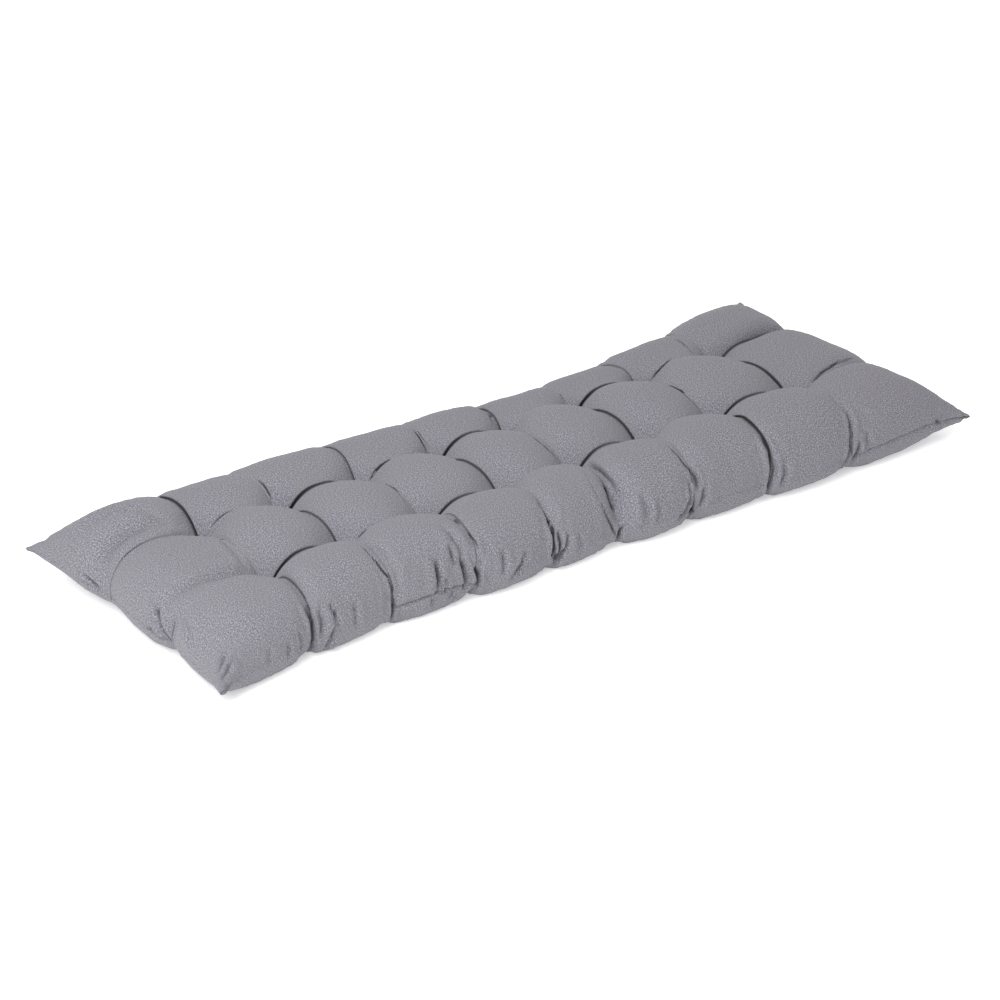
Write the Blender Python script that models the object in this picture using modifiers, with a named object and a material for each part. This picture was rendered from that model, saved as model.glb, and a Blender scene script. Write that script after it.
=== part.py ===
"""Tufted bench cushion: one cloth cover of two panels, stuffed and tied down at sixteen tufts.

Metres, +Z up. The origin is the middle of the underside, +X runs along the cushion's length,
and the long edge at -Y is its front.
"""

import math

import bmesh
import bpy
from mathutils import Vector

# Driving dimensions
CREASE_HEIGHT = 0.076         # bottom of a crease, halfway between two tufts
SIDE_CREASE_HEIGHT = 0.087    # the same, between a tuft and the edge seam
TUFT_HEIGHT = 0.044           # where a tie pulls the top panel down to
UNDER_TUFT_HEIGHT = 0.022     # where the same tie pulls the bottom panel up to
UNDER_CREASE_HEIGHT = 0.009   # crease of the underside, halfway between two tufts
UNDER_SIDE_CREASE_HEIGHT = 0.003
UNDER_SWELL = -0.016          # the underside's puffs would swell this far below the floor
SEAM_HEIGHT = 0.034           # edge seam along a puff
NOTCH_SEAM_HEIGHT = 0.028     # edge seam where a crease pulls it in
SCALLOP = 0.020               # a puff pushes the edge seam out by this
SIDE_CORNER_SCALLOP = 0.012   # the same along the long sides, for the puffs at the four corners
END_CORNER_SCALLOP = 0.003    # and along the two ends, for those puffs
EAR_DRAW = 0.005              # beside a corner the edge seam draws in by this
EAR_PINCH = 0.45              # share of its height that the top panel loses at a corner
FRONT_UNDER_EAR_PINCH = 0.05  # the same for the bottom panel
BACK_UNDER_EAR_PINCH = 0.6
PUFF_SQUARENESS = 2.6         # 2 is a round section, and more is flatter on top
CREASE_SHARPNESS = 0.85       # of the creases between puffs
SEAM_SHARPNESS = 0.7          # of the edge seam
CREASE_WANDER = 0.0035        # creases swing sideways by this

# Steps of the cage along one puff and one band, before subdivision
STEPS_PER_PUFF = 5
STEPS_PER_END_PUFF = 6

# Top of each puff, from left to right. Shorter puffs and those at the ends hold less stuffing.
FRONT_CRESTS = (0.095, 0.104, 0.104, 0.104, 0.103, 0.104, 0.104, 0.106, 0.096)
MIDDLE_CRESTS = (0.094, 0.104, 0.104, 0.104, 0.103, 0.104, 0.104, 0.105, 0.090)
BACK_CRESTS = (0.100, 0.100, 0.098, 0.096, 0.093, 0.090, 0.090, 0.093, 0.092)

# One row for each line of tufts across the cushion, from left to right.
TUFT_COLUMNS = (
    # x_front, y_front, x_back, y_back, x_seam_front, y_seam_front, x_seam_back, y_seam_back
    (-0.442, -0.074, -0.436, 0.068, -0.446, -0.168, -0.434, 0.192),
    (-0.319, -0.067, -0.318, 0.066, -0.323, -0.165, -0.314, 0.188),
    (-0.196, -0.073, -0.198, 0.064, -0.202, -0.172, -0.194, 0.182),
    (-0.077, -0.077, -0.077, 0.065, -0.080, -0.178, -0.074, 0.170),
    (0.037, -0.071, 0.039, 0.066, 0.028, -0.178, 0.042, 0.160),
    (0.156, -0.073, 0.156, 0.072, 0.142, -0.186, 0.160, 0.157),
    (0.277, -0.071, 0.273, 0.071, 0.264, -0.194, 0.278, 0.160),
    (0.413, -0.079, 0.404, 0.073, 0.402, -0.201, 0.410, 0.176),
)

# The two ends: corner, where each row of creases reaches the seam, and the other corner.
LEFT_END = (
    # x, y, seam height
    (-0.606, -0.213, 0.028),
    (-0.577, -0.074, NOTCH_SEAM_HEIGHT),
    (-0.572, 0.068, NOTCH_SEAM_HEIGHT),
    (-0.600, 0.214, 0.046),
)
RIGHT_END = (
    # x, y, seam height
    (0.604, -0.219, 0.034),
    (0.578, -0.078, NOTCH_SEAM_HEIGHT),
    (0.570, 0.094, NOTCH_SEAM_HEIGHT),
    (0.593, 0.226, 0.051),
)

COVER_COLOUR = (0.225, 0.222, 0.245, 1.0)
COVER_ROUGHNESS = 0.92

COLUMNS = len(TUFT_COLUMNS) + 1   # puffs along the length
BANDS = 3                         # puffs across the width


def clear_scene():
    for old in list(bpy.data.objects):
        bpy.data.objects.remove(old)


def cloth_material():
    material = bpy.data.materials.new("woven_grey_cloth")
    material.use_nodes = True
    shader = material.node_tree.nodes["Principled BSDF"]
    shader.inputs["Base Color"].default_value = COVER_COLOUR
    shader.inputs["Roughness"].default_value = COVER_ROUGHNESS
    shader.inputs["Metallic"].default_value = 0.0
    return material


def lattice_point(column, row):
    """Plan position and seam height of a crossing of crease lines; row 0 is the front seam, 3 the back one."""
    if column == 0:
        return Vector(LEFT_END[row])
    if column == COLUMNS:
        return Vector(RIGHT_END[row])
    x_front, y_front, x_back, y_back, x_sf, y_sf, x_sb, y_sb = TUFT_COLUMNS[column - 1]
    places = ((x_sf, y_sf), (x_front, y_front), (x_back, y_back), (x_sb, y_sb))
    return Vector((*places[row], NOTCH_SEAM_HEIGHT))


def round_profile(across):
    """Height of a puff's round section, 1 in its middle and 0 at its creases, for across from -1 to 1."""
    return math.sqrt(max(0.0, 1.0 - abs(across) ** PUFF_SQUARENESS))


def edge_samples(steps):
    """Steps across a puff from -1 to 1, closer together where its sides are steep."""
    return [math.sin(math.pi / 2 * (2 * i / steps - 1)) for i in range(steps + 1)]


def line_samples():
    """(puff number, place across it) for every cage line along the length, without repeating shared lines."""
    samples = []
    for column in range(COLUMNS):
        steps = STEPS_PER_END_PUFF if column in (0, COLUMNS - 1) else STEPS_PER_PUFF
        samples += [(column, across) for across in edge_samples(steps)[:-1]]
    return samples + [(COLUMNS - 1, 1.0)]


def band_samples():
    """The same for every cage line across the width."""
    samples = []
    for band in range(BANDS):
        samples += [(band, across) for across in edge_samples(STEPS_PER_PUFF)[:-1]]
    return samples + [(BANDS - 1, 1.0)]


def seam_bulge(along, at_low_corner, at_high_corner, corner_scallop):
    """How far a puff pushes its stretch of the edge seam out; beside a corner it draws in to a pointed ear."""
    if not (at_low_corner or at_high_corner):
        return SCALLOP * (1 - along * along)
    from_corner = (1 + along) / 2 if at_low_corner else (1 - along) / 2
    out = 6.75 * from_corner ** 2 * (1 - from_corner)
    drawn = 6.75 * from_corner * (1 - from_corner) ** 2
    return corner_scallop * out - EAR_DRAW * drawn


def plan_point(column, a, band, b):
    """Where a point of a puff lies in plan, with the seam's own height there."""
    s, t = (a + 1) / 2, (b + 1) / 2
    near = lattice_point(column, band).lerp(lattice_point(column + 1, band), s)
    far = lattice_point(column, band + 1).lerp(lattice_point(column + 1, band + 1), s)
    point = near.lerp(far, t)
    left, right = column == 0, column == COLUMNS - 1
    front, back = band == 0, band == BANDS - 1
    if front or back:
        bulge = seam_bulge(a, left, right, SIDE_CORNER_SCALLOP)
        point.y += bulge * t if back else -bulge * (1 - t)
    if left or right:
        bulge = seam_bulge(b, front, back, END_CORNER_SCALLOP)
        point.x += bulge * s if right else -bulge * (1 - s)
    bow_a, bow_b = 1 - a * a, 1 - b * b
    swing = 1 if (column + band) % 2 else -1
    point.x += swing * CREASE_WANDER * bow_b * (1 - bow_a)
    point.y -= swing * CREASE_WANDER * bow_a * (1 - bow_b)
    return point


def ear_share(column, a, band, b):
    """1 at a corner of the cushion, falling to 0 across the corner's puff."""
    from_end = {0: (1 + a) / 2, COLUMNS - 1: (1 - a) / 2}.get(column, 1.0)
    from_side = {0: (1 + b) / 2, BANDS - 1: (1 - b) / 2}.get(band, 1.0)
    return (1 - from_end) * (1 - from_side)


def panel_height(column, a, band, b, crest, crease, tuft, seam, pinched):
    """Height of a panel: puffs rise from the tufts over the creases, and run down to the edge seam."""
    rise_a, rise_b = round_profile(a), round_profile(b)
    at_end = (column == 0 and a < 0) or (column == COLUMNS - 1 and a > 0)
    at_side = (band == 0 and b < 0) or (band == BANDS - 1 and b > 0)
    from_crease_a = 1.0 if at_end else rise_a
    from_crease_b = 1.0 if at_side else rise_b
    either = from_crease_a + from_crease_b - from_crease_a * from_crease_b
    both = from_crease_a * from_crease_b
    height = tuft + (crease - tuft) * either + (crest - crease) * both
    to_seam = (rise_a if at_end else 1.0) * (rise_b if at_side else 1.0)
    return seam + (height - seam) * to_seam * (1 - pinched)


def seam_height(a, b, lattice_height):
    """The seam rises a little along each puff, between the creases that pull it down."""
    rise = SEAM_HEIGHT - NOTCH_SEAM_HEIGHT
    return lattice_height + rise * max(1 - a * a, 1 - b * b)


def crease_height(column, a, band, b, between_tufts, beside_seam):
    """Creases are shallower from a tuft to the edge seam than between two tufts."""
    to_side = {0: (1 - b) / 2, BANDS - 1: (1 + b) / 2}.get(band, 0.0)
    to_end = {0: (1 - a) / 2, COLUMNS - 1: (1 + a) / 2}.get(column, 0.0)
    share = min(1.0, 2 * max(to_side, to_end))
    return between_tufts + (beside_seam - between_tufts) * share


def top_point(column, a, band, b):
    point = plan_point(column, a, band, b)
    crest = (FRONT_CRESTS, MIDDLE_CRESTS, BACK_CRESTS)[band][column]
    crease = crease_height(column, a, band, b, CREASE_HEIGHT, SIDE_CREASE_HEIGHT)
    seam = seam_height(a, b, point.z)
    pinched = EAR_PINCH * ear_share(column, a, band, b) ** 2
    height = panel_height(column, a, band, b, crest, crease, TUFT_HEIGHT, seam, pinched)
    return Vector((point.x, point.y, height))


def under_point(column, a, band, b):
    """The underside has the same ties, and lies flat on the floor where its puffs would pass below it."""
    point = plan_point(column, a, band, b)
    crease = crease_height(column, a, band, b, UNDER_CREASE_HEIGHT, UNDER_SIDE_CREASE_HEIGHT)
    seam = seam_height(a, b, point.z)
    pinch = FRONT_UNDER_EAR_PINCH if band == 0 else BACK_UNDER_EAR_PINCH
    pinched = pinch * ear_share(column, a, band, b)
    height = panel_height(column, a, band, b, UNDER_SWELL, crease, UNDER_TUFT_HEIGHT, seam, pinched)
    return Vector((point.x, point.y, max(0.0, height)))


def make_panel(name, place, faces_up):
    """One cloth panel: a grid with a line of faces for each step, moved point by point into its shape."""
    lines, bands = line_samples(), band_samples()
    bpy.ops.mesh.primitive_grid_add(x_subdivisions=len(lines) - 1, y_subdivisions=len(bands) - 1, size=2)
    panel = bpy.context.object
    panel.name = name
    mesh = bmesh.new()
    mesh.from_mesh(panel.data)
    crease = mesh.edges.layers.float.new("crease_edge")
    where = {}
    for vertex in mesh.verts:
        i = round((vertex.co.x + 1) / 2 * (len(lines) - 1))
        j = round((vertex.co.y + 1) / 2 * (len(bands) - 1))
        where[vertex] = (i, j)
        vertex.co = place(*lines[i], *bands[j])
    for edge in mesh.edges:
        (i0, j0), (i1, j1) = where[edge.verts[0]], where[edge.verts[1]]
        on_rim = edge.is_boundary
        along_column = i0 == i1 and lines[i0][1] == -1.0
        along_row = j0 == j1 and bands[j0][1] == -1.0
        if on_rim:
            edge[crease] = SEAM_SHARPNESS
        elif along_column or along_row:
            edge[crease] = CREASE_SHARPNESS
    if not faces_up:
        bmesh.ops.reverse_faces(mesh, faces=mesh.faces)
    mesh.to_mesh(panel.data)
    mesh.free()
    return panel


def sew_panels(top, under):
    """Joins the two panels along their rims, which hold the same points, into one closed cover."""
    bpy.ops.object.select_all(action="DESELECT")
    top.select_set(True)
    under.select_set(True)
    bpy.context.view_layer.objects.active = top
    bpy.ops.object.join()
    mesh = bmesh.new()
    mesh.from_mesh(top.data)
    bmesh.ops.remove_doubles(mesh, verts=mesh.verts, dist=0.00005)
    mesh.to_mesh(top.data)
    mesh.free()
    return top


def centre_on_floor(cover):
    """Moves the mesh so that the middle of its underside is at the origin."""
    shape = cover.evaluated_get(bpy.context.evaluated_depsgraph_get()).to_mesh()
    lows = [min(v.co[axis] for v in shape.vertices) for axis in range(3)]
    highs = [max(v.co[axis] for v in shape.vertices) for axis in range(3)]
    middle = Vector(((lows[0] + highs[0]) / 2, (lows[1] + highs[1]) / 2, lows[2]))
    for vertex in cover.data.vertices:
        vertex.co -= middle


def build():
    clear_scene()
    cushion = bpy.data.collections.new("bench_cushion")
    bpy.context.scene.collection.children.link(cushion)
    top = make_panel("filled_cover", top_point, faces_up=True)
    under = make_panel("bottom_panel", under_point, faces_up=False)
    cover = sew_panels(top, under)
    smooth = cover.modifiers.new("soft_form", "SUBSURF")
    smooth.levels = 1
    smooth.render_levels = 1
    centre_on_floor(cover)
    cover.data.materials.append(cloth_material())
    cover.data.shade_smooth()
    for collection in list(cover.users_collection):
        collection.objects.unlink(cover)
    cushion.objects.link(cover)


build()
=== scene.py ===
"""Looks of the tufted bench cushion: its sewn cover with puffs, folds and gathers, the woven cloth,
and the stage with a camera at the photograph's angle.

Metres, +Z up. The origin is the middle of the underside and +X runs along the cushion's length.
"""

import math
from collections import namedtuple
import bmesh
import bpy
import numpy as np
from bpy.props import FloatProperty, FloatVectorProperty, IntProperty, PointerProperty
from mathutils import Matrix, Vector, noise
from mathutils.bvhtree import BVHTree


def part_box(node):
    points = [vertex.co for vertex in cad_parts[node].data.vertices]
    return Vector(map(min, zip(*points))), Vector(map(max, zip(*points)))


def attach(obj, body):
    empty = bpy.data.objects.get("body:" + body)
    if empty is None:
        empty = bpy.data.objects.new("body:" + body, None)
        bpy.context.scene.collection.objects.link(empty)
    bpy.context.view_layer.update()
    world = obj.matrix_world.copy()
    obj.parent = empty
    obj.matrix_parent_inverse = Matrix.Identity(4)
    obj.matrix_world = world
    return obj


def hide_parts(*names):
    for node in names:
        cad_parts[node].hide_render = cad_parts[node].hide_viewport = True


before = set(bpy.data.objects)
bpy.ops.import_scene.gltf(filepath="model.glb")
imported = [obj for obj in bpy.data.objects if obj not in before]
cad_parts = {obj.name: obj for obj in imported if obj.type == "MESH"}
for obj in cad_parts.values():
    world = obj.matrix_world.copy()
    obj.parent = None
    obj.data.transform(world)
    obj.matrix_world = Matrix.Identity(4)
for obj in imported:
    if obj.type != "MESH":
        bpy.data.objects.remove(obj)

bl_info = {
    "name": "Tufted bench cushion",
    "version": (1, 0, 0),
    "blender": (4, 5, 0),
    "location": "3D View > Sidebar > Cushion",
    "description": "Makes a tufted bench cushion of woven cloth and the stage it is shown on",
    "category": "Object",
}

SOLID = "filled_cover"
CAD_LOW, CAD_HIGH = (corner.copy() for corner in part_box(SOLID))

# Form of the stuffed cover, as in the solid it replaces
CREASE_HEIGHT = 0.088         # bottom of a crease, halfway between two tufts
TUFT_HEIGHT = 0.044           # where a tie pulls the top panel down to
UNDER_TUFT_HEIGHT = 0.022     # where the same tie pulls the bottom panel up to
UNDER_CREASE_HEIGHT = 0.009
UNDER_SIDE_CREASE_HEIGHT = 0.003
UNDER_SWELL = -0.016          # the underside's puffs would swell this far below the floor
SEAM_HEIGHT = 0.034           # edge seam along a puff
NOTCH_SEAM_HEIGHT = 0.028     # edge seam where a crease pulls it in
SIDE_CORNER_SCALLOP = 0.010   # the corner puffs push the edge seam out by this along the long sides
END_CORNER_SCALLOP = 0.002    # and by this along the two ends
END_SCALLOP = 0.012           # the middle puff at each end
BACK_SCALLOP = 0.008
FRONT_SCALLOPS = (0.0, 0.008, 0.012, 0.012, 0.014, 0.013, 0.011, 0.010, 0.0)
SCALLOP_LEAN = 0.3            # they are fuller towards the left by this share
EAR_DRAW = 0.005              # beside a corner the edge seam draws in by this
EAR_PINCH = 0.45              # share of its height that the top panel loses at a corner
FRONT_UNDER_EAR_PINCH = 0.05  # the same for the bottom panel
BACK_UNDER_EAR_PINCH = 0.6
PUFF_SQUARENESS = 2.2         # of the sides: 2 is a round section, and more is flatter on top
UNDER_SQUARENESS = 1.7        # of the underside towards the seam
CREASE_SQUARENESS = 2.3       # of the domed puffs towards the creases between tufts
SIDE_CREASE_SQUARENESS = 5.0  # and towards the creases on the cushion's sides
CREASE_STEEPNESS = 0.9        # 0.5 gives upright walls in the creases, and 1 a plain V
SIDE_CREASE_STEEPNESS = 0.7
SEAM_SQUARENESS = 2.0         # of the curves that the puffs push into the edge seam
LEFT_CREASE_EASE = 0.6        # the creases that run to the left end are softer by this
CREASE_WANDER = 0.0035        # creases swing sideways by this
CUBIC_PEAK = 6.75             # brings the top of x * x * (1 - x) to 1

# Top of each puff, from left to right. Shorter puffs and those at the ends hold less stuffing.
FRONT_CRESTS = (0.095, 0.104, 0.104, 0.104, 0.103, 0.104, 0.104, 0.106, 0.096)
MIDDLE_CRESTS = (0.094, 0.104, 0.104, 0.104, 0.103, 0.104, 0.104, 0.105, 0.090)
BACK_CRESTS = (0.100, 0.095, 0.096, 0.093, 0.091, 0.084, 0.084, 0.089, 0.092)
CRESTS = np.array((FRONT_CRESTS, MIDDLE_CRESTS, BACK_CRESTS))

# How far the creases lie below their puffs where they reach the seam at each side
BACK_CREASE_DEPTH = 0.003
LEFT_CREASE_DEPTH = 0.009
RIGHT_CREASE_DEPTH = 0.018

# The same for each crease that runs to the front, from left to right, with how far halfway up the
# cushion's side it stands out over its notch in the seam, and how tightly it is pinched, from 0 to 1
FRONT_CREASES = (
    # depth, out, pinched
    (0.007, 0.009, 0.4),
    (0.014, 0.008, 0.8),
    (0.004, 0.014, 0.3),
    (0.010, 0.006, 0.9),
    (0.024, -0.014, 1.0),
    (0.008, 0.004, 0.9),
    (0.006, 0.011, 1.0),
    (0.003, 0.006, 0.3),
)
FRONT_DEPTHS, FRONT_OUTS, FRONT_PINCHED = np.transpose(FRONT_CREASES)
MIDDLE_PINCHED = (0.5, 0.5, 0.5, 0.6, 0.6, 0.7, 0.8, 0.9)
BACK_PINCHED = (0.9, 0.4, 0.5, 0.9, 0.5, 0.6, 0.3, 0.7)
FRONT_ROW_PINCHED = (0.4, 0.9, 0.7, 0.7, 0.7, 0.7, 0.7, 0.7, 1.0)   # between the front and middle puffs
BACK_ROW_PINCHED = (0.2, 0.9, 1.0, 1.0, 0.9, 0.8, 1.0, 0.8, 0.4)    # between the middle and back puffs
SIDE_BELLY = 0.002            # how far the middle of a puff stands out over the seam
BACK_CREASE_BELLY = 0.008     # and the creases at the back and the ends
END_CREASE_BELLY = 0.004

# Pinch lines: the narrow bottom of each crease, deepest beside the tufts, with painted shade along it
PINCH_WIDTH = 0.0013
PINCH_SHADE_WIDTH = 0.0024
PINCH_SHADE = 0.3             # how dark the painted shade of a crease is where it isn't pinched at all
PINCH_DEPTH = 0.003
TUFT_PINCH_DEPTH = 0.008
TUFT_PINCH_REACH = 0.028
TUFT_PINCHED = 0.6            # every crease is pinched at least this tightly at a tuft
ROW_FADING = 0.6              # creases along the cushion are looser by this on the right of each puff
HALF_PUFF = 0.061
HALF_BAND = 0.068

# Edge seam: a groove between the panels with painted shade in it, and puckers beside it
SEAM_GROOVE_WIDTH = 0.0018
SEAM_GROOVE_DEPTH = 0.0025
SEAM_SHADE = 0.4
FRONT_SEAM_SHOWS = (0.35, 0.15, 1.0, 0.2, 0.15, 0.15, 0.5, 0.3, 0.9)
OTHER_SEAM_SHOWS = 0.4        # at the back and the ends
SEAM_PUCKER = 0.0010
PUCKER_SIZE = 0.008
PUCKER_REACH = 0.012

# Gathers that run up from the seam
GATHER_DEPTH = 0.0032
END_GATHER_DEPTH = 0.0016
GATHER_WAVES = ((1.0, 0.011, 3), (0.6, 0.006, 4))          # share, size and seed
GATHER_REACH = 0.5            # from the seam, as a share of the way to the puff's middle
GATHER_MIDDLE = 0.3           # share of them that is left halfway between two creases
UNSEAMED = 9.0                # such a share for points that don't face a seam
UNEVENNESS = ((0.0012, 0.05, 1), (0.0005, 0.02, 2))        # height, size and seed

# Folds: the strengths are on the depths and widths in the lists below
FOLD_STRENGTH = 2.1
TOUCHING_STRENGTH = 0.7       # the same where two puffs touch
TOUCHING_REACH = 0.045        # and how far from a crease it still shows
FOLD_BREADTH = 1.25
FOLD_VALLEY = 0.4             # a fold's valley and its raised lips, as shares of the width and depth
FOLD_LIP = 0.55
FOLD_LIP_PLACE = 1.05
FOLD_LIP_WIDTH = 0.55
FOLD_STEPS = 12               # points looked up between two points of a fold
FOLD_JUMP = 0.02              # a fold ends where the next point of it lies farther away than this
FOLD_SHADE = 240.0            # how much painted shade their bottoms get for each metre of depth
TOUCHING_SHADE = 440.0        # the same where two puffs touch
SHARP_FOLD = 0.006            # wider folds than this get less painted shade
RELIEF_REACH = 0.0015         # bends shorter than this count for less
RELIEF_BEND = 150.0           # bend in 1/m that counts as a sharp one
PANEL_GAP = 0.02              # between the two panels where they are laid out for the weave

# Settling: what is left after it are the folds, without the broad swelling of each puff
SLACK_STRETCH = 2.4           # how much the cloth grows for its slack
TOP_SLACK = 0.35              # slack on top for each part on the sides
SWELL_REMOVED = 0.8
TOP_BLUR = 9                  # mesh lines of the coarse cover
UNDER_BLUR = 5

# Cloth
THREAD_DRIFT = 2.5            # threads wander by this many pitches
DRIFT_SCALE = 140.0
LIGHT_FLECKS = (0.51, 0.64)   # noise that gives no fleck and a full one
DARK_FLECKS = (0.49, 0.37)
FLECK_SHARE = 0.9
UNEVEN_SCALE = 18.0           # of the slow change to a warmer tint
WARM_TINT = (1.06, 1.0, 0.97)
WARM_SHARE = 0.3
FOLD_DARKEST = 0.92           # how much of the crease shade colour the painted shade at the bottoms of folds and creases gets
VALLEY_SHARE = 0.6            # how much of the crease shade colour sharp valleys get as painted shade
RIDGE_SHARE = 0.35            # how much of the light yarn's colour sharp ridges get as a painted highlight

# One row for each line of tufts across the cushion, from left to right.
TUFT_COLUMNS = (
    # x_front, y_front, x_back, y_back, x_seam_front, y_seam_front, x_seam_back, y_seam_back
    (-0.442, -0.074, -0.436, 0.068, -0.446, -0.168, -0.434, 0.192),
    (-0.319, -0.067, -0.318, 0.066, -0.323, -0.165, -0.324, 0.188),
    (-0.196, -0.073, -0.198, 0.064, -0.202, -0.172, -0.180, 0.182),
    (-0.077, -0.077, -0.077, 0.065, -0.080, -0.174, -0.060, 0.170),
    (0.037, -0.071, 0.039, 0.066, 0.028, -0.174, 0.055, 0.160),
    (0.156, -0.073, 0.156, 0.072, 0.142, -0.186, 0.162, 0.152),
    (0.277, -0.071, 0.273, 0.071, 0.264, -0.194, 0.267, 0.160),
    (0.413, -0.079, 0.404, 0.073, 0.402, -0.201, 0.397, 0.176),
)

# The two ends: corner, where each row of creases reaches the seam, and the other corner.
LEFT_END = (
    # x, y, seam height
    (-0.606, -0.213, 0.028),
    (-0.577, -0.074, NOTCH_SEAM_HEIGHT),
    (-0.572, 0.068, NOTCH_SEAM_HEIGHT),
    (-0.600, 0.214, 0.046),
)
RIGHT_END = (
    # x, y, seam height
    (0.604, -0.219, 0.034),
    (0.570, -0.070, NOTCH_SEAM_HEIGHT),
    (0.570, 0.094, NOTCH_SEAM_HEIGHT),
    (0.593, 0.226, 0.051),
)

COLUMNS = len(TUFT_COLUMNS) + 1   # puffs along the length
BANDS = 3                         # puffs across the width

# Faces of the cover mesh along one puff and across one band of puffs
LINES_PER_PUFF = 56
LINES_PER_END_PUFF = 66
TOP_ROWS_PER_BAND = (72, 36, 36)
UNDER_ROW_STEPS = (3, 4, 4)       # the underside keeps every third or every fourth row
SECTION_POINTS = 4001             # along a puff's section, to space the lines and rows
SECTION_RISE = 0.6                # height of that section for each half of a puff's width
BESIDE_CREASE = 0.3               # share of a puff, beside its creases, where they are closer together
CREASE_DENSITY = 2.0              # and by how much

# The photograph's camera
PHOTO_PIXELS = 1000
CAMERA_AZIMUTH = math.radians(-38.632)
CAMERA_ELEVATION = math.radians(26.22)
CAMERA_DISTANCE = 5.0
CAMERA_TARGET = Vector((0.001, 0.026, 0.0))
FOCAL_PIXELS = 3870.0
SENSOR_WIDTH = 36.0

FLOOR_SIZE = 30.0
FLOOR_GAP = 0.0005             # keeps the floor just clear of the underside

# Folds seen in the photograph: the width and depth of each in millimetres, and pixel points along it
MILLIMETRE = 0.001
FRONT_FOLDS = (
    (6, 2.0, (287, 640), (290, 652), (289, 662)),
    (6, 2.4, (300, 632), (302, 645), (300, 655)),
    (6, 3.4, (305, 605), (312, 622), (313, 640), (308, 652)),
    (7, 2.2, (318, 608), (322, 625), (319, 640)),
    (6, 3.0, (330, 603), (337, 618), (338, 634)),
    (6, 2.4, (334, 625), (331, 640), (325, 650)),
    (6, 2.0, (352, 600), (357, 614), (356, 628)),
    (5, 3.0, (393, 598), (393, 609), (388, 619)),
    (4, 2.4, (387, 573), (390, 584), (393, 592)),
    (8, 1.2, (372, 548), (382, 554), (392, 567), (396, 577)),
    (6, 3.6, (433, 555), (437, 567), (439, 580), (438, 594)),
    (8, 2.0, (442, 525), (452, 535), (459, 548), (463, 558)),
    (6, 2.6, (448, 542), (452, 556), (455, 566)),
    (5, 2.0, (441, 572), (447, 583), (446, 594)),
    (6, 3.6, (459, 555), (464, 568), (466, 580), (464, 591)),
    (5, 3.4, (473, 566), (477, 576), (477, 587)),
    (7, 1.4, (483, 553), (480, 566), (477, 584)),
    (6, 2.0, (433, 598), (430, 608)),
    (6, 2.0, (456, 591), (447, 601)),
    (7, 2.4, (501, 548), (505, 562), (504, 576)),
    (7, 2.6, (527, 550), (522, 565), (512, 581)),
    (5, 3.0, (547, 518), (551, 533), (553, 548), (555, 560)),
    (5, 3.6, (557, 530), (560, 543), (559, 553), (554, 562)),
    (6, 2.8, (569, 533), (566, 546), (560, 557), (552, 565)),
    (7, 1.8, (580, 533), (581, 545), (578, 556)),
    (6, 2.2, (587, 465), (600, 472), (611, 483), (617, 495)),
    (6, 2.4, (625, 524), (619, 532), (613, 539)),
    (8, 2.2, (640, 492), (647, 507), (648, 524)),
    (7, 1.8, (657, 500), (660, 512), (658, 524)),
    (6, 2.6, (686, 466), (695, 478), (699, 492)),
    (5, 3.4, (689, 482), (690, 499), (684, 512), (678, 521)),
    (7, 2.2, (705, 485), (704, 498), (699, 510)),
    (6, 2.4, (760, 436), (770, 452), (774, 470), (770, 485), (764, 495)),
    (7, 1.8, (785, 462), (785, 475), (780, 488)),
    (6, 2.6, (846, 408), (851, 425), (850, 445), (845, 462), (838, 470)),
    (6, 2.2, (860, 440), (858, 452), (850, 462)),
    (7, 1.8, (868, 430), (869, 448)),
    (6, 2.0, (936, 418), (942, 427)),
)
# Lines where two puffs touch: shallow valleys with painted shade along them, in the same columns as the folds
TOUCHING_PUFFS = (
    (3.4, 3.2, (356, 542), (366, 550), (377, 563), (386, 577), (392, 591), (393, 604)),
    (3.4, 3.2, (535, 498), (542, 508), (549, 522), (552, 538), (556, 550)),
    (4.8, 3.6, (582, 467), (589, 480), (598, 498), (606, 513), (612, 526), (614, 536)),
    (3.6, 3.4, (666, 444), (679, 457), (688, 470), (692, 484)),
    (4, 2.0, (442, 516), (453, 520), (465, 529), (475, 541), (480, 552)),
    (3.4, 2.2, (355, 540), (364, 532), (376, 523)),
    (3.6, 2.0, (209, 530), (214, 523), (222, 515), (235, 508)),
    (4, 3.4, (370, 480), (375, 471), (382, 464), (391, 458)),
    (3.4, 3.0, (651, 381), (656, 373), (664, 364), (674, 357)),
    (4, 1.8, (383, 482), (396, 489), (405, 501), (410, 512)),
    (4, 3.6, (516, 431), (531, 435), (545, 446), (554, 455), (560, 463)),
    (4, 3.4, (666, 384), (680, 390), (691, 400), (701, 412)),
    (4, 3.4, (414, 430), (420, 437), (424, 444), (428, 453)),
    (4, 2.0, (255, 478), (263, 484), (269, 493), (272, 502)),
    (4, 2.2, (482, 406), (490, 416), (494, 426)),
    (4, 2.8, (672, 337), (680, 341), (687, 347), (695, 355)),
    (6, 2.8, (810, 384), (822, 372), (838, 362), (856, 357)),
)
END_FOLDS = (
    (14, 2.4, (70, 552), (76, 536), (92, 521), (115, 510), (140, 510), (165, 519), (186, 527)),
    (16, 3.6, (106, 580), (105, 563), (112, 547), (127, 534), (150, 525), (172, 524)),
    (15, 3.0, (162, 618), (166, 603), (180, 590), (203, 579), (228, 574), (252, 576)),
    (7, 2.6, (82, 572), (92, 583), (99, 590)),
    (7, 3.4, (159, 598), (156, 612), (161, 629), (172, 645)),
    (9, 1.4, (146, 612), (149, 626), (157, 640)),
    (10, 1.6, (183, 618), (190, 633), (194, 648)),
    (6, 2.0, (226, 652), (222, 663), (217, 674)),
    (6, 1.8, (232, 660), (227, 672), (222, 680)),
    (7, 1.8, (270, 648), (271, 664)),
    (8, 1.4, (218, 536), (230, 547), (241, 559), (250, 570)),
)


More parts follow.
